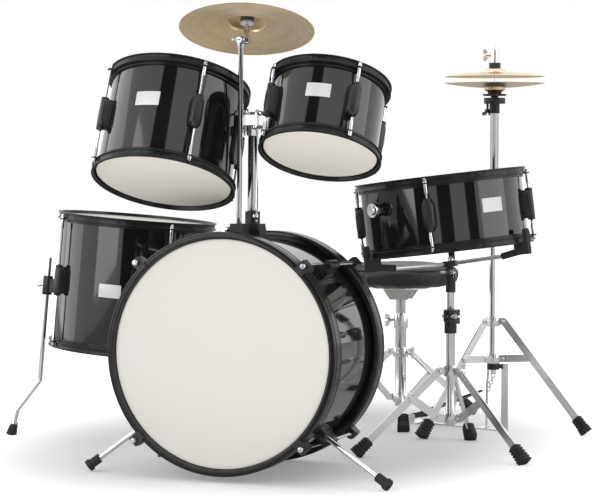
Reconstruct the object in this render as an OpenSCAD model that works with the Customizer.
// Junior acoustic drum kit: bass drum carrying two toms and a crash cymbal,
// floor tom on legs, snare drum on a basket stand, hi-hat stand and drum throne.
// Millimetres, +Z up, the front head of the bass drum faces -Y.

/* [Bass drum] */
// Outer radius of the bass drum shell
bass_r = 203; // [180:1:230]
// Length of the bass drum shell
bass_len = 265; // [220:1:320]
// How far the front of the bass drum is tipped up, degrees
bass_lift = 2; // [0:0.5:5]

/* [Toms] */
// Outer radius of the left tom shell
ltom_r = 121; // [105:1:130]
// Length of the left tom shell
ltom_len = 184; // [140:1:200]
// Tilt of the left tom towards the player, degrees
ltom_lean = 23.6; // [0:0.1:35]
// Outer radius of the right tom shell
rtom_r = 99; // [85:1:105]
// Length of the right tom shell
rtom_len = 132; // [110:1:150]
// Tilt of the right tom towards the player, degrees
rtom_lean = 24.8; // [0:0.1:35]

/* [Floor tom] */
// Outer radius of the floor tom shell
ftom_r = 150; // [140:1:165]
// Length of the floor tom shell
ftom_len = 256; // [220:1:300]
// Lean of the floor tom, degrees
ftom_lean = 4.9; // [0:0.1:10]

/* [Snare drum] */
// Outer radius of the snare drum shell
snare_r = 155; // [145:1:165]
// Length of the snare drum shell
snare_len = 130; // [100:1:150]
// Lean of the snare drum in its basket, degrees
snare_lean = 7; // [0:0.5:15]

/* [Cymbals] */
// Radius of the crash cymbal
crash_r = 121; // [110:1:135]
// Tilt of the crash cymbal, degrees
crash_lean = 19.5; // [0:0.5:30]
// Radius of the hi-hat cymbals
hat_r = 103; // [95:1:115]

/* [Throne] */
// Radius of the throne seat
seat_r = 125; // [110:1:140]
// Thickness of the throne seat
seat_t = 50; // [35:1:70]

/* [Shared drum parts] */
// Wall thickness of every shell
wall = 6; // [4:0.5:9]
// Thickness of the drum head film and its collar
film = 0.9; // [0.5:0.1:1.5]
// Sheet thickness of the pressed metal hoops
hoop_t = 2.4; // [1.6:0.1:3]
// Distance from shell surface to tension rod centre
rod_off = 11.5; // [10:0.5:14]
// Radius of the tension rods
rod_r = 2.4; // [2:0.1:3]
// Running clearance of parts that slide or turn
play = 0.05; // [0.02:0.01:0.1]

/* [Hidden] */
$fn = 64;
fn_rod = 32;
// Moves the layout so the origin is under the middle of the whole kit
kit_shift = [75.11, -468.85, 0];

// ---------- placement of each assembly on the floor ----------
bass_hoop_r = bass_r + 14;
bass_rear = [-11, 275, bass_hoop_r + 0.4];
arm_h = bass_r + 201; // pivot bar of the toms over the bass drum axis
arm_z = bass_rear[2] + arm_h;
post_back = 170;
post_x = 20;
crash_back = 222;
crash_x = 14.5;
ltom_c = [-132, 36, arm_z - 89];
rtom_c = [165, 37.5, arm_z - 39.4];
ftom_c = [-382, 417, 188];
ftom_az = 23;
snare_c = [286, 450, 0];
snare_az = 180;
hat_c = [285, 783, 0];
throne_c = [58, 866, 0];

// ---------- lug positions round each drum, degrees ----------
bass_lugs_az = [for (i = [0:3]) 45 + 90 * i];
ltom_lugs_az = [for (i = [0:3]) -48 + 90 * i];
rtom_lugs_az = [for (i = [0:3]) -45 + 90 * i];
ftom_lugs_az = [for (i = [0:3]) -41 + 90 * i];
snare_lugs_az = [for (i = [0:3]) -84 + 90 * i];
ftom_legs_az = [for (i = [0:2]) 184 + 120 * i];
ftom_foot_turn = [12, 26, 0];

// ---------- drum head and hoop section ----------
hoop_drop = 7;
hoop_in = 4.4;
hoop_rim = 7;
hoop_out = 9.5;
hoop_ear_r = 5.4;
ring_w = 3.8;
ring_h = 5;
bass_lip = 10;
bass_skirt = 28;
bass_ring_w = 4.4;
bass_drop = 4;

// ---------- lugs ----------
lug_r = 7;
lug_h = 60;
lug_plate_w = 25;
lug_plate_t = 5;
socket_depth = 16;

// ---------- bass drum hardware ----------
claw_w = 18;
claw_rod = bass_hoop_r + 8;
claw_rod_r = 3;
claw_t = 4;
bass_lug_w = 24;
bass_lug_l = 48;
spur_r = 4.75;
spur_brk = bass_r + 13;
spur_back = 208;
spur_foot_r = [298, 16, 10.2];
spur_foot_l = [-279, 27, 10.2];
spur_inside = 75;

// ---------- posts over the bass drum ----------
post_r = 9.5;
post_low = bass_r - 66;
post_top = arm_h - 3;
arm_front = 22;
arm_r = 4;
arm_from = -10.2;
arm_to = 70.4;
link_h = 25;
link_t = 2.6;
crash_rod_r = 4.5;
crash_low = bass_r - 76;
crash_top = bass_r + 354;
stud_r = 3.4;
crash_seat = 44;
stud_top = 84;
stud_tip = 13; // slimmer free end
crash_az = 103.7;
mount_low = bass_r - 9;
mount_top = bass_r + 28;
mount_screw = bass_r + 17;

// ---------- snare stand ----------
snare_tube_r = 8.9;
snare_post_r = 7.4;
snare_tube_top = 255;
snare_pivot = 352;
snare_rest = 41;
basket_az = [for (i = [0:2]) -16 + 120 * i];

// ---------- hi-hat ----------
hat_tube_r = 8.9;
hat_rod_r = 2.9;
hat_rod_top = 809;
hat_seat_z = 706;
hat_top_z = 752;
pedal_heel = [104, 844, 16];
pedal_toe = [258, 792, 80];
pedal_w = 58;

// ---------- throne ----------
throne_tube_r = 12.4;
throne_post_r = 10.6;
seat_z = 291;
throne_top = seat_z - 61;
throne_sleeve = 30;

// ---------- tripods: [tube radius, upper pivot height, lower pivot height,
// foot circle radius, tube bottom, leg directions] ----------
tri_snare = [snare_tube_r, 161, 70, 186, 56, [for (i = [0:2]) 93 + 120 * i]];
tri_hat = [hat_tube_r, 229, 151, 197, 141, [238, 358]];
tri_throne = [throne_tube_r, 148, 50, 186, 32, [for (i = [0:2]) 49 + 120 * i]];
leg_w = 15;
leg_t = 3.6;
leg_pin = 2.5;
collar_h = 20;
collar_wall = 4.5;
pivot_out = 9;
cheek_t = 2.5;
strut_side = 4;
strut_part = 0.34;
foot_len = 30;
foot_rise = 9;

// ================= helpers =================
function rotz(p, a) = [p.x * cos(a) - p.y * sin(a), p.x * sin(a) + p.y * cos(a), p.z];
function roty(p, a) = [p.x * cos(a) + p.z * sin(a), p.y, p.z * cos(a) - p.x * sin(a)];
function leaned(p, c, deg, az) = c + rotz(roty(rotz(p, -az), deg), az);
function bass_pt(x, y, z) = bass_rear
    + [x, y * sin(bass_lift) - z * cos(bass_lift), y * cos(bass_lift) + z * sin(bass_lift)];

module kit() translate(kit_shift) children();
module lean_at(c, deg, az)
    translate(c) rotate([0, 0, az]) rotate([0, deg, 0]) rotate([0, 0, -az]) children();
module ltom_at() lean_at(ltom_c, ltom_lean, 90) children();
module rtom_at() lean_at(rtom_c, rtom_lean, 90) children();
module ftom_at() lean_at(ftom_c, ftom_lean, ftom_az) children();
module basket_at() lean_at(snare_c + [0, 0, snare_pivot], snare_lean, snare_az) children();
module snare_at() basket_at() translate([0, 0, snare_rest + hoop_rim]) children();
module bass_at() translate(bass_rear) rotate([90 - bass_lift, 0, 0]) children();
// Stands a child upright on the bass drum axis, under the crash rod or the tom post
module post_at() bass_at() translate([post_x, 0, post_back]) rotate([-90, 0, 0]) children();
module crash_rod_at() bass_at() translate([crash_x, 0, crash_back]) rotate([-90, 0, 0]) children();
module along(p, q) {
    d = q - p;
    translate(p) rotate([0, acos(d.z / norm(d)), atan2(d.y, d.x)]) children();
}
module rod(p, q, r) along(p, q) cylinder(r = r, h = norm(q - p), $fn = fn_rod);
module tube(r, ri, h) difference() {
    cylinder(r = r, h = h);
    translate([0, 0, -1]) cylinder(r = ri, h = h + 2);
}
module around(list) for (a = list) rotate([0, 0, a]) children();
module both_ends(len) {
    translate([0, 0, len]) children();
    mirror([0, 0, 1]) children();
}
module oval(w, h, t) linear_extrude(height = t) {
    square([w, h - w], center = true);
    for (s = [-1, 1]) translate([0, s * (h - w) / 2]) circle(d = w);
}
// Wing screw pointing along +Z: plain shank, hub and two wings
module wing_screw(shank, r = 2.9, span = 26) {
    cylinder(r = r, h = shank, $fn = fn_rod);
    translate([0, 0, shank]) cylinder(r = 5, h = 7, $fn = fn_rod);
    for (s = [-1, 1]) translate([s * span / 4, 0, shank + 8]) rotate([0, s * 20, 0]) {
        cube([span / 2 - 2, 3, 9], center = true);
        translate([s * 3, 1.8, 3]) rotate([90, 0, 0]) cylinder(r = 4, h = 3.6, $fn = fn_rod);
    }
}

// ================= drum building blocks =================
module shell(r, len) {
    bevel = wall - 1.5;
    rotate_extrude($fn = 96) polygon([[r - wall, bevel], [r - 1.5, 0], [r, 0], [r, len],
        [r - 1.5, len], [r - wall, len - bevel]]);
}
// Film over the shell edge, collar down its outside, flesh ring at the bottom
module head(r, drop, rw) rotate_extrude($fn = 96) polygon([[0, 0], [r, 0], [r, -drop - ring_h],
    [r + rw, -drop - ring_h], [r + rw, -drop], [r + film, -drop], [r + film, film], [0, film]]);
module metal_hoop(r, az) {
    translate([0, 0, -hoop_drop]) linear_extrude(height = hoop_t) difference() {
        union() {
            circle(r = r + hoop_out, $fn = 96);
            around(az) {
                translate([r + rod_off, 0]) circle(r = hoop_ear_r, $fn = fn_rod);
                translate([r + 2, -hoop_ear_r]) square([rod_off - 2, 2 * hoop_ear_r]);
            }
        }
        circle(r = r + film + 0.6, $fn = 96);
        around(az) translate([r + rod_off, 0]) circle(r = rod_r + 0.1, $fn = fn_rod);
    }
    rotate_extrude($fn = 96) polygon([
        [r + hoop_in, hoop_t / 2 - hoop_drop], [r + hoop_in + hoop_t, hoop_t / 2 - hoop_drop],
        [r + hoop_in + hoop_t, hoop_rim - hoop_t], [r + hoop_out, hoop_rim - hoop_t],
        [r + hoop_out, hoop_rim], [r + hoop_in, hoop_rim]]);
}
module bass_hoop() rotate_extrude($fn = 96) polygon([
    [bass_r + film + 0.6, bass_lip], [bass_hoop_r - 2, bass_lip], [bass_hoop_r, bass_lip - 2],
    [bass_hoop_r, 2 - bass_skirt], [bass_hoop_r - 2, -bass_skirt], [bass_r + bass_ring_w + 0.6, -bass_skirt],
    [bass_r + bass_ring_w + 0.6, -bass_drop], [bass_r + film + 0.6, -bass_drop]]);
module lug(r) difference() {
    union() {
        translate([r + rod_off, 0, -lug_h / 2]) cylinder(r = lug_r, h = lug_h, $fn = fn_rod);
        translate([r - 3, -lug_r + 1, 8 - lug_h / 2]) cube([rod_off + 3, 2 * lug_r - 2, lug_h - 16]);
        translate([r - 3, 0, 0]) rotate([90, 0, 90]) oval(lug_plate_w, lug_h - 6, lug_plate_t + 3);
    }
    cylinder(r = r, h = 2 * lug_h, center = true, $fn = 96);
    for (s = [-1, 1]) translate([r + rod_off, 0, s * (lug_h / 2 - socket_depth / 2)])
        cylinder(r = rod_r + play, h = socket_depth + 0.01, center = true, $fn = fn_rod);
}
// Tension rod hanging from a hoop ear at z = 0 down to the lug socket
module tension_rod(reach) {
    translate([0, 0, -reach]) cylinder(r = rod_r, h = reach, $fn = fn_rod);
    cylinder(r = 4.2, h = 1.4, $fn = fn_rod);
    translate([0, 0, 1.4]) cylinder(r = 3.4, h = 5, $fn = fn_rod);
}
module tension_set(r, len, az) {
    reach = len / 2 - hoop_drop + hoop_t - lug_h / 2 + socket_depth - 2;
    around(az) {
        translate([0, 0, len / 2]) lug(r);
        both_ends(len) translate([r + rod_off, 0, hoop_t - hoop_drop]) tension_rod(reach);
    }
}

// ================= bass drum =================
function spur_start(side) = bass_pt(side * spur_brk * cos(39), -spur_brk * sin(39), spur_back);
function spur_foot(side) = side > 0 ? spur_foot_r : spur_foot_l;
function spur_dir(side) = (spur_foot(side) - spur_start(side)) / norm(spur_foot(side) - spur_start(side));
module spur_hole(r) for (s = [-1, 1])
    rod(spur_start(s) - 45 * spur_dir(s), spur_start(s) + 45 * spur_dir(s), r);

module bass_shell() color("#15151a") kit() difference() {
    bass_at() shell(bass_r, bass_len);
    spur_hole(spur_r + 1.2);
    post_at() cylinder(r = post_r + 1.2, h = mount_top);
    crash_rod_at() cylinder(r = crash_rod_r + 1.2, h = mount_top);
}
module bass_heads() color("#e9e4d2") kit() bass_at() both_ends(bass_len)
    head(bass_r, bass_drop, bass_ring_w);
module bass_hoops() color("#131316") kit() bass_at() both_ends(bass_len) bass_hoop();
module claw() difference() {
    translate([0, claw_w / 2, 0]) rotate([90, 0, 0]) linear_extrude(height = claw_w) polygon([
        [bass_hoop_r - 9, bass_lip], [bass_hoop_r, bass_lip], [bass_hoop_r, -14],
        [claw_rod + 3, -14], [claw_rod + 7, -6], [claw_rod + 7, bass_lip + claw_t],
        [bass_hoop_r - 9, bass_lip + claw_t]]);
    translate([claw_rod, 0, -20]) cylinder(r = claw_rod_r + 0.1, h = 50, $fn = fn_rod);
}
module claw_bolt() translate([claw_rod, 0, 0]) {
    reach = bass_len / 2 - bass_lug_l / 2 + bass_lip + claw_t + socket_depth - 2;
    translate([0, 0, bass_lip + claw_t - reach]) cylinder(r = claw_rod_r, h = reach, $fn = fn_rod);
    translate([0, 0, bass_lip + claw_t]) cylinder(r = 6.5, h = 1.6, $fn = fn_rod);
    translate([0, 0, bass_lip + claw_t + 1.6]) cylinder(r = 4.6, h = 6.5, $fn = fn_rod);
}
module bass_lug() difference() {
    union() {
        translate([bass_r - 4, -bass_lug_w / 2, 4 - bass_lug_l / 2])
            cube([14, bass_lug_w, bass_lug_l - 8]);
        translate([bass_r, -8, -bass_lug_l / 2]) cube([claw_rod - bass_r, 16, bass_lug_l]);
        translate([claw_rod, 0, -bass_lug_l / 2]) cylinder(r = 8, h = bass_lug_l, $fn = fn_rod);
    }
    cylinder(r = bass_r, h = 2 * bass_lug_l, center = true, $fn = 96);
    for (s = [-1, 1]) translate([claw_rod, 0, s * (bass_lug_l / 2 - socket_depth / 2)])
        cylinder(r = claw_rod_r + play, h = socket_depth + 0.01, center = true, $fn = fn_rod);
}
// Bracket that lets a spur pass through the shell wall, clamped by a wing screw
module spur_bracket(side) {
    difference() {
        union() {
            along(spur_start(side), spur_foot(side)) translate([0, 0, -22]) {
                cylinder(r = 10, h = 40, $fn = fn_rod);
                cylinder(r = 17, h = 14, $fn = fn_rod);
            }
        }
        bass_at() cylinder(r = bass_r, h = bass_len);
        spur_hole(spur_r + play);
        spur_screw(side) cylinder(r = 3, h = 30, $fn = fn_rod);
    }
    spur_screw(side) translate([0, 0, spur_r + 0.1]) wing_screw(9, span = 24);
}
module spur_screw(side) along(spur_start(side), spur_foot(side))
    translate([0, 0, 9]) rotate([0, 0, side > 0 ? 60 : 120]) rotate([0, 90, 0]) children();
module bass_lugs() color("#1b1b1e") kit() {
    bass_at() around(bass_lugs_az) {
        translate([0, 0, bass_len / 2]) bass_lug();
        both_ends(bass_len) { claw(); claw_bolt(); }
    }
    for (s = [-1, 1]) spur_bracket(s);
}
// Tapered block standing on top of the shell
module mount_block(foot, top, deep) rotate([90, 0, 0]) translate([0, 0, -deep / 2])
    linear_extrude(height = deep) polygon([[-foot, mount_low], [foot, mount_low],
        [foot, mount_top - 24], [top, mount_top], [-top, mount_top], [-foot, mount_top - 24]]);
module bass_mount() color("#1a1a1d") kit() {
    difference() {
        union() {
            crash_rod_at() mount_block(15, 12, 26);
            post_at() {
                mount_block(22, 18, 36);
                translate([0, 0, mount_top - 8]) cylinder(r = 13.5, h = 30, $fn = fn_rod);
            }
        }
        bass_at() cylinder(r = bass_r, h = bass_len, $fn = 96);
        post_at() cylinder(r = post_r + play, h = mount_top + 40, $fn = fn_rod);
        crash_rod_at() cylinder(r = crash_rod_r + play, h = mount_top + 40, $fn = fn_rod);
        crash_screw() cylinder(r = 3, h = 40, $fn = fn_rod);
        post_screw() cylinder(r = 3, h = 40, $fn = fn_rod);
    }
    crash_screw() translate([0, 0, crash_rod_r + 0.1]) wing_screw(14);
    post_screw() translate([0, 0, post_r + 0.1]) wing_screw(7, span = 22);
}
module crash_screw() crash_rod_at() translate([0, 0, mount_screw]) rotate([0, -90, 0]) children();
module post_screw() post_at() translate([0, 0, mount_top + 14]) rotate([0, 0, -55])
    rotate([0, 90, 0]) children();
module spur(side) {
    tip = spur_foot(side);
    d = spur_dir(side);
    rod(spur_start(side) - spur_inside * d, tip - 20 * d, spur_r);
    along(tip - 26 * d, tip) {
        cylinder(r = 8.5, h = 24, $fn = fn_rod);
        translate([0, 0, 20]) cylinder(r = 11, h = 7, $fn = fn_rod);
    }
}
module bass_spur_left() color("#c9ccd0") kit() spur(-1);
module bass_spur_right() color("#c9ccd0") kit() spur(1);

// ================= tom post, crash rod and crash cymbal =================
module tom_post() color("#c9ccd0") kit() post_at() {
    translate([0, 0, post_low]) cylinder(r = post_r, h = post_top - post_low, $fn = fn_rod);
    // clamp head in front of the post top, which holds the pivot bar
    translate([-7.5, -arm_front - 7, post_top - 12]) cube([15, arm_front + 7, 17]);
    // pivot bar that both toms tilt on, and the lock bar above it
    translate([arm_from - bass_rear[0] - post_x, -arm_front, arm_h]) rotate([0, 90, 0])
        cylinder(r = arm_r, h = arm_to - arm_from, $fn = fn_rod);
    for (x = [-13.2, 14]) translate([x, -arm_front, arm_h]) rotate([90, 0, 90])
        translate([0, link_h / 2, 0]) oval(14, link_h + 14, link_t);
    translate([-13.2, -arm_front, arm_h + link_h]) rotate([0, 90, 0])
        cylinder(r = 2.6, h = 29, $fn = fn_rod);
    translate([16, -arm_front, arm_h + link_h]) rotate([0, 90, 0]) wing_screw(3, span = 20);
}
arm_axis = bass_pt(0, arm_h, post_back + arm_front);
crash_pivot = bass_pt(crash_x + 10, crash_top, crash_back);
module crash_at() lean_at(crash_pivot, crash_lean, crash_az) children();
module crash_rod() color("#c9ccd0") kit() {
    crash_rod_at() {
        translate([0, 0, crash_low]) cylinder(r = crash_rod_r, h = crash_top - crash_low - 6, $fn = fn_rod);
        translate([0, 0, crash_top - 14]) cylinder(r = 6.2, h = 14, $fn = fn_rod);
        translate([-6, 0, crash_top]) rotate([0, 90, 0]) cylinder(r = 7, h = 22, $fn = fn_rod);
        translate([2, -5.5, crash_top]) rotate([90, 0, 0]) wing_screw(4, span = 18);
    }
    crash_at() {
        cylinder(r = stud_r, h = stud_top - stud_tip, $fn = fn_rod);
        translate([0, 0, stud_top - stud_tip - 1]) cylinder(r = stud_r - 0.2, h = stud_tip + 1, $fn = fn_rod);
        cylinder(r = 5.5, h = 22, $fn = fn_rod);
        translate([0, 0, crash_seat - 12]) tube(12, stud_r, 2.5);
        translate([0, 0, crash_seat - 9.5]) tube(12.5, stud_r, 9.4);
        translate([0, 0, crash_seat + cym_t + 0.1]) tube(12, stud_r, 8);
        translate([0, 0, crash_seat + cym_t + 8.1]) {
            tube(6, stud_r, 9);
            for (s = [-1, 1]) translate([s * 10.5, 0, 7]) rotate([0, -s * 20, 0])
                cube([10, 3, 9], center = true);
        }
    }
}
cym_t = 1.3;
bell_flat = 8;
// Cymbal section: flat seat, raised bell, shallow bow down to the edge
module cymbal(rc, rb, hb, drop, hole) {
    bell = [for (i = [0:6]) let (a = 90 * i / 6)
        [hole + bell_flat + (rb - hole - bell_flat) * sin(a), -hb * (1 - cos(a))]];
    top = concat([[hole, 0]], bell, [for (i = [1:8]) let (u = i / 8)
        [rb + (rc - rb) * u, -hb - drop * (0.35 * u + 0.65 * u * u)]]);
    n = len(top);
    rotate_extrude($fn = 96) polygon(concat([for (p = top) p + [0, cym_t]],
        [for (i = [0:n - 1]) top[n - 1 - i]]));
}
module crash_cymbal() color("#c2a35c") kit() crash_at() translate([0, 0, crash_seat])
    cymbal(crash_r, 38, 13, 11, stud_r + 1.6);

// ================= mounted toms =================
// Bracket on the tom shell that grips one end of the cross arm of the post; grip = [start and end
// of the round clamp, lean, start and length of its bore, plate drop, plate height]
module tom_bracket(c, r, side, grip) {
    az = asin((arm_axis - c).y * cos(grip[2]) / r - (arm_axis - c).z * sin(grip[2]) / r);
    zl = (arm_axis - c).y * sin(grip[2]) + (arm_axis - c).z * cos(grip[2]);
    difference() {
        union() {
            translate([grip[0], arm_axis.y, arm_axis.z]) rotate([0, 90, 0])
                cylinder(r = 11, h = grip[1] - grip[0], $fn = fn_rod);
            lean_at(c, grip[2], 90) rotate([0, 0, side > 0 ? az : 180 - az])
                translate([r - 6, 0, zl - grip[5]]) rotate([90, 0, 90]) oval(31, grip[6], 10.5);
        }
        lean_at(c, grip[2], 90) translate([0, 0, -20]) cylinder(r = r, h = 250, $fn = 96);
        translate([grip[3], arm_axis.y, arm_axis.z]) rotate([0, 90, 0])
            cylinder(r = arm_r + play, h = grip[4], $fn = fn_rod);
    }
}
module left_tom_shell() color("#15151a") kit() ltom_at() shell(ltom_r, ltom_len);
module left_tom_hoops() color("#131316") kit() ltom_at() both_ends(ltom_len)
    metal_hoop(ltom_r, ltom_lugs_az);
module left_tom_heads() color("#efece2") kit() ltom_at() both_ends(ltom_len)
    head(ltom_r, hoop_drop, ring_w);
module left_tom_lugs() color("#1b1b1e") kit() {
    ltom_at() tension_set(ltom_r, ltom_len, ltom_lugs_az);
    tom_bracket(ltom_c, ltom_r, 1, [-30, -5, ltom_lean, arm_from - 0.9, 20, 24, 95]);
}
module right_tom_shell() color("#15151a") kit() rtom_at() shell(rtom_r, rtom_len);
module right_tom_hoops() color("#131316") kit() rtom_at() both_ends(rtom_len)
    metal_hoop(rtom_r, rtom_lugs_az);
module right_tom_heads() color("#efece2") kit() rtom_at() both_ends(rtom_len)
    head(rtom_r, hoop_drop, ring_w);
module right_tom_lugs() color("#1b1b1e") kit() {
    rtom_at() tension_set(rtom_r, rtom_len, rtom_lugs_az);
    tom_bracket(rtom_c, rtom_r, -1, [57, 96, rtom_lean, 50, arm_to - 49.1, 0, 84]);
}

// ================= floor tom =================
leg_off = 34;
leg_r = 4.75;
leg_brk_z = 106;
leg_over = 57;
module floor_tom_shell() color("#15151a") kit() ftom_at() shell(ftom_r, ftom_len);
module floor_tom_hoops() color("#131316") kit() ftom_at() both_ends(ftom_len)
    metal_hoop(ftom_r, ftom_lugs_az);
module floor_tom_heads() color("#efece2") kit() ftom_at() both_ends(ftom_len)
    head(ftom_r, hoop_drop, ring_w);
module leg_bracket() {
    difference() {
        union() {
            translate([ftom_r - 6, 0, 0]) rotate([90, 0, 90]) oval(31, 64, 12);
            translate([ftom_r - 3, -7, -14]) cube([leg_off + 3, 14, 28]);
            translate([ftom_r + leg_off, 0, -19]) rotate([0, 0, 115])
                cylinder(r = 10, h = 38, $fn = fn_rod);
        }
        cylinder(r = ftom_r, h = 200, center = true, $fn = 96);
        translate([ftom_r + leg_off, 0, -40]) rotate([0, 0, 115])
            cylinder(r = leg_r + play, h = 80, $fn = fn_rod);
        translate([ftom_r + leg_off, 0, 0]) rotate([0, 90, 0]) cylinder(r = 3, h = 20, $fn = fn_rod);
    }
    translate([ftom_r + leg_off + leg_r + 0.1, 0, 0]) rotate([0, 90, 0]) wing_screw(9);
}
module floor_tom_lugs() color("#1b1b1e") kit() ftom_at() {
    tension_set(ftom_r, ftom_len, ftom_lugs_az);
    around(ftom_legs_az) translate([0, 0, leg_brk_z]) leg_bracket();
}
module floor_leg(az, turn) {
    out = ftom_r + leg_off;
    top = leaned(rotz([out, 0, leg_brk_z + leg_over], az), ftom_c, ftom_lean, ftom_az);
    bend = leaned(rotz([out, 0, -90], az), ftom_c, ftom_lean, ftom_az);
    under = [ftom_c.x, ftom_c.y, 0] + rotz([out, 0, 0], az);
    knee = under + rotz([54, 0, 52], az + turn);
    ankle = under + rotz([64, 0, 14], az + turn);
    rod(top, bend, leg_r);
    translate(bend) sphere(r = leg_r + 0.2, $fn = fn_rod);
    rod(bend, knee, leg_r);
    translate(knee) sphere(r = leg_r + 0.2, $fn = fn_rod);
    rod(knee, ankle, leg_r);
    tip = ankle + (ankle - knee) * 0.36;
    difference() {
        along(ankle - (ankle - knee) * 0.36, tip) {
            cylinder(r1 = 7, r2 = 11, h = norm(tip - ankle) * 2, $fn = fn_rod);
        }
        rod(knee, ankle, leg_r);
        translate([0, 0, -50]) cube([4000, 4000, 100], center = true);
    }
}
module floor_tom_legs() color("#c9ccd0") kit() for (i = [0:2])
    floor_leg(ftom_legs_az[i], ftom_foot_turn[i]);

// ================= tripods =================
function hinge_r(t) = t[0] + collar_wall + pivot_out;
function open_at(t) = [hinge_r(t) + (t[3] - hinge_r(t)) * strut_part, t[1] + (foot_rise - t[1]) * strut_part];
module fork(r, side) difference() {
    for (s = [-1, 1]) translate([r - pivot_out - 1, side + s * (leg_t / 2 + 0.1 + cheek_t / 2), 0]) {
        translate([(pivot_out + 1) / 2, 0, 0]) cube([pivot_out + 1, cheek_t - 0.4, 14], center = true);
        translate([pivot_out + 1, cheek_t / 2, 0]) rotate([90, 0, 0])
            cylinder(r = 7, h = cheek_t, $fn = fn_rod);
    }
}
module fork_pin(r, side) translate([r, side + leg_t / 2 + cheek_t + 1.2, 0]) rotate([90, 0, 0])
    cylinder(r = leg_pin, h = leg_t + 2 * cheek_t + 2.4, $fn = fn_rod);
module collar(t, z, gap, side) translate([0, 0, z]) {
    difference() {
        union() {
            translate([0, 0, -collar_h / 2]) cylinder(r = t[0] + collar_wall, h = collar_h);
            around(t[5]) { fork(hinge_r(t), side); fork_pin(hinge_r(t), side); }
        }
        translate([0, 0, -collar_h]) cylinder(r = t[0] + gap, h = 2 * collar_h);
    }
}
// Flat bar between two points of the radial plane, bored at its inner end
module bar(p, q, side, cut) difference() {
    d = q - p;
    union() {
        along([p.x, side, p.y], [q.x, side, q.y])
            translate([-leg_w / 2, -leg_t / 2, 0]) cube([leg_w, leg_t, norm(d) - cut]);
        translate([p.x, side + leg_t / 2, p.y]) rotate([90, 0, 0])
            cylinder(r = leg_w / 2 - 1, h = leg_t, $fn = fn_rod);
    }
    translate([p.x, side + 10, p.y]) rotate([90, 0, 0])
        cylinder(r = leg_pin + play, h = 20, $fn = fn_rod);
}
module tripod_leg(t, az) rotate([0, 0, az]) {
    p = [hinge_r(t), t[1]];
    q = [t[3], foot_rise];
    e = (q - p) / norm(q - p);
    a = q - foot_len * e;
    bar(p, q, 0, 6);
    difference() {
        along([a.x, 0, a.y], [q.x, 0, q.y]) {
            cylinder(r = 11, h = foot_len, $fn = fn_rod);
            translate([0, 0, foot_len - 8]) cylinder(r = 13, h = 12, $fn = fn_rod);
        }
        bar(p, q, 0, 6);
        translate([0, 0, -50]) cube([4000, 4000, 100], center = true);
    }
}
module tripod_strut(t, az) rotate([0, 0, az]) {
    p = [hinge_r(t), t[2]];
    q = open_at(t);
    bar(p, q, strut_side, 0);
    translate([q.x, strut_side + leg_t / 2, q.y]) rotate([90, 0, 0])
        cylinder(r = leg_w / 2 - 1, h = leg_t, $fn = fn_rod);
    translate([q.x, strut_side + leg_t / 2 + 2, q.y]) rotate([90, 0, 0])
        cylinder(r = 4, h = 2, $fn = fn_rod);
}
module collar_screw(t, az) translate([0, 0, t[1]]) rotate([0, 0, az]) rotate([0, 90, 0])
    translate([0, 0, t[0] + collar_wall]) wing_screw(4, span = 22);

// ================= snare stand and snare drum =================
module snare_stand_tube() color("#c9ccd0") kit() translate(snare_c) {
    difference() {
        union() {
            translate([0, 0, tri_snare[4]])
                cylinder(r = snare_tube_r, h = snare_tube_top - tri_snare[4]);
            translate([0, 0, snare_tube_top - 21]) cylinder(r = 12, h = 24);
            translate([0, 0, snare_tube_top + 2]) cylinder(r = 14, h = 22);
            translate([-7, -24, snare_tube_top + 2]) cube([14, 24, 22]);
        }
        translate([0, 0, tri_snare[4] + 6]) cylinder(r = snare_post_r + play, h = 300);
        translate([-1, -30, 250]) cube([2, 28, 40]);
        translate([-20, -19, 268]) rotate([0, 90, 0]) cylinder(r = 3, h = 40, $fn = fn_rod);
    }
    translate([-11, -19, 268]) rotate([0, 90, 0]) cylinder(r = 2.95, h = 18, $fn = fn_rod);
    translate([7, -19, 268]) rotate([0, 90, 0]) wing_screw(4);
    collar(tri_snare, tri_snare[2], 0, strut_side);
}
module snare_collar() color("#c9ccd0") kit() translate(snare_c) {
    collar(tri_snare, tri_snare[1], play, 0);
    collar_screw(tri_snare, 33);
}
module snare_leg(i) kit() translate(snare_c) tripod_leg(tri_snare, tri_snare[5][i]);
module snare_strut(i) kit() translate(snare_c) tripod_strut(tri_snare, tri_snare[5][i]);
module snare_post() color("#c9ccd0") kit() {
    translate(snare_c) {
        translate([0, 0, 150]) cylinder(r = snare_post_r, h = 170, $fn = fn_rod);
        translate([0, 0, 313]) cylinder(r = 9.6, h = snare_pivot - 313 - 8, $fn = fn_rod);
        for (s = [-1, 1]) translate([-8, s * 7 - 2, snare_pivot - 12]) cube([16, 4, 20]);
        translate([0, 12, snare_pivot]) rotate([90, 0, 0]) cylinder(r = 3, h = 24, $fn = fn_rod);
        translate([0, -9, snare_pivot]) rotate([90, 0, 0]) wing_screw(3);
    }
}
grip_w = 12;
grip_in = snare_r + hoop_out + 4.6;
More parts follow.
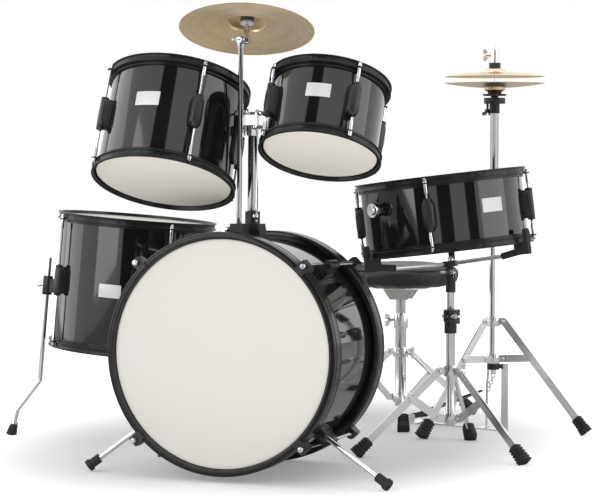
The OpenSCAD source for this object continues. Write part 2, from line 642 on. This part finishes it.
module snare_basket() color("#c9ccd0") kit() basket_at() {
    difference() {
        union() {
            rotate([90, 0, 0]) translate([0, 0, -4.9]) cylinder(r = 7.5, h = 9.8, $fn = fn_rod);
            translate([-5, -4.9, 0]) cube([10, 9.8, 14]);
            translate([0, 0, 10]) cylinder(r = 15, h = 11);
        }
        rotate([90, 0, 0]) translate([0, 0, -20]) cylinder(r = 3 + play, h = 40, $fn = fn_rod);
    }
    around(basket_az) {
        rod([13, 0, 16], [136, 0, 21], 4);
        difference() {
            union() {
                rod([118, 0, 20.3], [160, 0, 27], 6.5);
                translate([148, -grip_w / 2, 20]) cube([grip_in - 148 + 9, grip_w, snare_rest - 20]);
                translate([grip_in, -grip_w / 2, 30]) cube([9, grip_w, 34]);
                translate([grip_in + 4.5, grip_w / 2, 64]) rotate([90, 0, 0])
                    cylinder(r = 4.5, h = grip_w, $fn = fn_rod);
            }
            rod([13, 0, 16], [136, 0, 21], 4);
        }
    }
}
module snare_shell() color("#15151a") kit() snare_at() shell(snare_r, snare_len);
module snare_hoops() color("#131316") kit() snare_at() both_ends(snare_len)
    metal_hoop(snare_r, snare_lugs_az);
module snare_heads() color("#efece2") kit() snare_at() both_ends(snare_len)
    head(snare_r, hoop_drop, ring_w);
strainer_az = -122;
strainer_z = 86;
module strainer_at() snare_at() rotate([0, 0, strainer_az]) translate([snare_r, 0, strainer_z])
    rotate([0, 90, 0]) children();
module snare_lugs() color("#1b1b1e") kit() {
    snare_at() tension_set(snare_r, snare_len, snare_lugs_az);
    difference() {
        strainer_at() translate([0, 0, -5]) cylinder(r = 12, h = 14);
        snare_at() cylinder(r = snare_r, h = snare_len, $fn = 96);
        strainer_at() cylinder(r = 3 + play, h = 30, $fn = fn_rod);
    }
}
module snare_strainer() color("#d4d6d9") kit() strainer_at() {
    translate([0, 0, 4]) cylinder(r = 3, h = 8, $fn = fn_rod);
    translate([0, 0, 9.2]) cylinder(r = 13.5, h = 15);
    translate([0, 0, 24.2]) cylinder(r = 9, h = 4);
}

// ================= hi-hat =================
module hihat_stand_tube() color("#c9ccd0") kit() translate(hat_c) {
    difference() {
        union() {
            translate([0, 0, tri_hat[4]]) cylinder(r = hat_tube_r, h = 663 - tri_hat[4]);
            translate([0, 0, 660]) cylinder(r = 10.5, h = 20);
            translate([0, 0, 680]) cylinder(r = 22, h = 12);
            translate([0, 0, 692]) cylinder(r = 8, h = 6);
            translate([0, 0, 696]) cylinder(r = 24, h = 4);
            translate([0, 0, 699]) cylinder(r = 14, h = hat_seat_z - cym_t - 699.1);
        }
        translate([0, 0, 100]) cylinder(r = hat_rod_r + play, h = 640, $fn = fn_rod);
        translate([0, 0, 150]) cylinder(r = hat_tube_r - 2, h = 500, $fn = fn_rod);
    }
    translate([-15, 0, 681]) rotate([180, 0, 0]) wing_screw(12, r = 2.4, span = 16);
    collar(tri_hat, tri_hat[2], 0, strut_side);
}
module hihat_collar() color("#c9ccd0") kit() translate(hat_c) {
    collar(tri_hat, tri_hat[1], play, 0);
    collar_screw(tri_hat, 118);
}
module hat_leg(i) kit() translate(hat_c) tripod_leg(tri_hat, tri_hat[5][i]);
module hat_strut(i) kit() translate(hat_c) tripod_strut(tri_hat, tri_hat[5][i]);
module hihat_bottom_cymbal() color("#c2a35c") kit() translate(hat_c) translate([0, 0, hat_seat_z])
    mirror([0, 0, 1]) cymbal(hat_r, 22, 8, 9, hat_rod_r + 3);
module hihat_top_cymbal() color("#c2a35c") kit() translate(hat_c) translate([0, 0, hat_top_z])
    cymbal(hat_r, 22, 8, 9, hat_rod_r);
// Thin rod through the tube, clutch above the top cymbal, chain links below
module hihat_pull_rod() color("#c9ccd0") kit() translate(hat_c) {
    translate([0, 0, 124]) cylinder(r = hat_rod_r, h = hat_rod_top - 14 - 124, $fn = fn_rod);
    translate([0, 0, hat_rod_top - 15]) cylinder(r = hat_rod_r - 0.2, h = 15, $fn = fn_rod);
    translate([0, 0, hat_top_z - 8]) tube(10, hat_rod_r, 8);
    translate([0, 0, hat_top_z + cym_t]) tube(12, hat_rod_r, 11);
    translate([0, 0, hat_top_z + cym_t + 11]) tube(8, hat_rod_r, 26);
    translate([-8, 0, hat_top_z + 28]) rotate([0, -90, 0]) wing_screw(3, span = 18);
    translate([0, 0, 118]) cylinder(r = 6, h = 10, $fn = fn_rod);
    for (i = [0:4]) translate([-2.6 * i, 0.9 * i, 115 - 7.4 * i]) rotate([90, 0, i % 2 * 90])
        rotate_extrude($fn = 24) translate([3.6, 0]) circle(r = 1.5, $fn = 16);
}
pedal_dir = (pedal_toe - pedal_heel) / norm(pedal_toe - pedal_heel);
pedal_az = atan2(pedal_dir.y, pedal_dir.x);
pedal_rise = asin(pedal_dir.z);
pedal_l = norm(pedal_toe - pedal_heel);
pedal_reach = norm([hat_c.x - pedal_heel.x, hat_c.y - pedal_heel.y]);
guide = [[pedal_reach - 33, 26, 1], [pedal_reach - 31, 24, 88], [pedal_reach - 20, 16, 150],
    [pedal_reach - 8.4, 8.2, 204]];
module pedal_at() translate(pedal_heel) rotate([0, 0, pedal_az]) children();
bar_at = [pedal_reach + 14, 9];
module hihat_base() color("#c9ccd0") kit() {
    pedal_at() translate([0, 0, -pedal_heel.z]) {
        translate([-18, -pedal_w / 2, 0]) cube([36, pedal_w, 3]);
        translate([10, -5, 0]) cube([bar_at.x + 5, 10, 3]);
        for (s = [-1, 1]) translate([-9, s * 26 - 2, 0]) cube([18, 4, pedal_heel.z + 5]);
        translate([0, 29, pedal_heel.z]) rotate([90, 0, 0]) cylinder(r = 3, h = 58, $fn = fn_rod);
        // flat upright from the floor plate to the lower collar
        translate([bar_at.x, -5, 0]) cube([15, bar_at.y + 9, 3]);
        translate([bar_at.x, bar_at.y, 0]) cube([15, 4, 140]);
        translate([pedal_reach, 0, 0]) difference() {
            translate([0, 7, 130]) cube([20, 5, 9]);
            translate([0, 0, 120]) cylinder(r = 12.8, h = 40);
        }
        // bent guide rod from the floor plate up to the tube
        for (i = [0:2]) rod(guide[i], guide[i + 1], 2.6);
        for (i = [1:2]) translate(guide[i]) sphere(r = 2.7, $fn = fn_rod);
        translate([guide[0].x - 5, 4, 0]) cube([10, guide[0].y, 3]);
    }
    translate(hat_c + [0, 0, 128]) tube(13, hat_rod_r + 1, 13);
}
module hihat_pedal() color("#c9ccd0") kit() pedal_at() rotate([0, -pedal_rise, 0]) difference() {
    union() {
        translate([0, -pedal_w / 2 + 6, -1]) linear_extrude(height = 4)
            polygon([[0, 0], [pedal_l * 0.55, 0], [pedal_l - 10, 12], [pedal_l, 18],
                [pedal_l, pedal_w - 30], [pedal_l - 10, pedal_w - 24], [pedal_l * 0.55, pedal_w - 12],
                [0, pedal_w - 12]]);
        rotate([90, 0, 0]) translate([0, 0, -22]) cylinder(r = 6, h = 44, $fn = fn_rod);
    }
    rotate([90, 0, 0]) translate([0, 0, -30]) cylinder(r = 3 + play, h = 60, $fn = fn_rod);
}

// ================= throne =================
module throne_tube() color("#c9ccd0") kit() translate(throne_c) {
    difference() {
        union() {
            translate([0, 0, tri_throne[4]])
                cylinder(r = throne_tube_r, h = throne_top - 25 - tri_throne[4]);
            translate([0, 0, throne_top - throne_sleeve]) cylinder(r = throne_tube_r + 3.1, h = throne_sleeve);
        }
        translate([0, 0, tri_throne[4] + 6]) cylinder(r = throne_post_r + play, h = 300);
        translate([0, 0, 217]) rotate([0, -90, 20]) cylinder(r = 3, h = 40, $fn = fn_rod);
    }
    translate([0, 0, 217]) rotate([0, -90, 20]) translate([0, 0, throne_post_r + 0.1]) wing_screw(10);
    collar(tri_throne, tri_throne[2], 0, strut_side);
}
module throne_collar() color("#c9ccd0") kit() translate(throne_c) {
    collar(tri_throne, tri_throne[1], play, 0);
    collar_screw(tri_throne, -14);
}
module throne_leg(i) kit() translate(throne_c) tripod_leg(tri_throne, tri_throne[5][i]);
module throne_strut(i) kit() translate(throne_c) tripod_strut(tri_throne, tri_throne[5][i]);
module throne_post() color("#c9ccd0") kit() translate(throne_c) {
    translate([0, 0, 120]) cylinder(r = throne_post_r, h = seat_z - 21 - 120, $fn = fn_rod);
    difference() {
        translate([0, 18, 0]) rotate([90, 0, 0]) linear_extrude(height = 36)
            polygon([[-20, seat_z - 29], [20, seat_z - 29], [38, seat_z - 3], [-38, seat_z - 3]]);
        translate([-60, -15, 200]) cube([120, 30, seat_z - 207]);
    }
    translate([0, 0, seat_z - 29]) cylinder(r = 13, h = 24);
    translate([0, 0, seat_z - 5]) cylinder(r = 60, h = 4.7);
}
module throne_seat() color("#19191b") kit() translate(throne_c + [0, 0, seat_z]) {
    e = 16;
    rotate_extrude($fn = 96) union() {
        square([seat_r - e, seat_t]);
        translate([0, e]) square([seat_r, seat_t - 2 * e]);
        translate([seat_r - e, e]) circle(r = e);
        translate([seat_r - e, seat_t - e]) circle(r = e);
    }
}

module snare_leg_1() color("#c9ccd0") snare_leg(0);
module snare_leg_2() color("#c9ccd0") snare_leg(1);
module snare_leg_3() color("#c9ccd0") snare_leg(2);
module snare_strut_1() color("#b9bcc0") snare_strut(0);
module snare_strut_2() color("#b9bcc0") snare_strut(1);
module snare_strut_3() color("#b9bcc0") snare_strut(2);
module hihat_leg_1() color("#c9ccd0") hat_leg(0);
module hihat_leg_2() color("#c9ccd0") hat_leg(1);
module hihat_strut_1() color("#b9bcc0") hat_strut(0);
module hihat_strut_2() color("#b9bcc0") hat_strut(1);
module throne_leg_1() color("#c9ccd0") throne_leg(0);
module throne_leg_2() color("#c9ccd0") throne_leg(1);
module throne_leg_3() color("#c9ccd0") throne_leg(2);
module throne_strut_1() color("#b9bcc0") throne_strut(0);
module throne_strut_2() color("#b9bcc0") throne_strut(1);
module throne_strut_3() color("#b9bcc0") throne_strut(2);

bass_shell();
bass_hoops();
bass_heads();
bass_lugs();
bass_mount();
bass_spur_left();
bass_spur_right();
tom_post();
crash_rod();
crash_cymbal();
left_tom_shell();
left_tom_hoops();
left_tom_heads();
left_tom_lugs();
right_tom_shell();
right_tom_hoops();
right_tom_heads();
right_tom_lugs();
floor_tom_shell();
floor_tom_hoops();
floor_tom_heads();
floor_tom_lugs();
floor_tom_legs();
snare_stand_tube();
snare_collar();
snare_leg_1();
snare_leg_2();
snare_leg_3();
snare_strut_1();
snare_strut_2();
snare_strut_3();
snare_post();
snare_basket();
snare_shell();
snare_hoops();
snare_heads();
snare_lugs();
snare_strainer();
hihat_stand_tube();
hihat_base();
hihat_collar();
hihat_leg_1();
hihat_leg_2();
hihat_strut_1();
hihat_strut_2();
hihat_bottom_cymbal();
hihat_top_cymbal();
hihat_pull_rod();
hihat_pedal();
throne_tube();
throne_collar();
throne_leg_1();
throne_leg_2();
throne_leg_3();
throne_strut_1();
throne_strut_2();
throne_strut_3();
throne_post();
throne_seat();
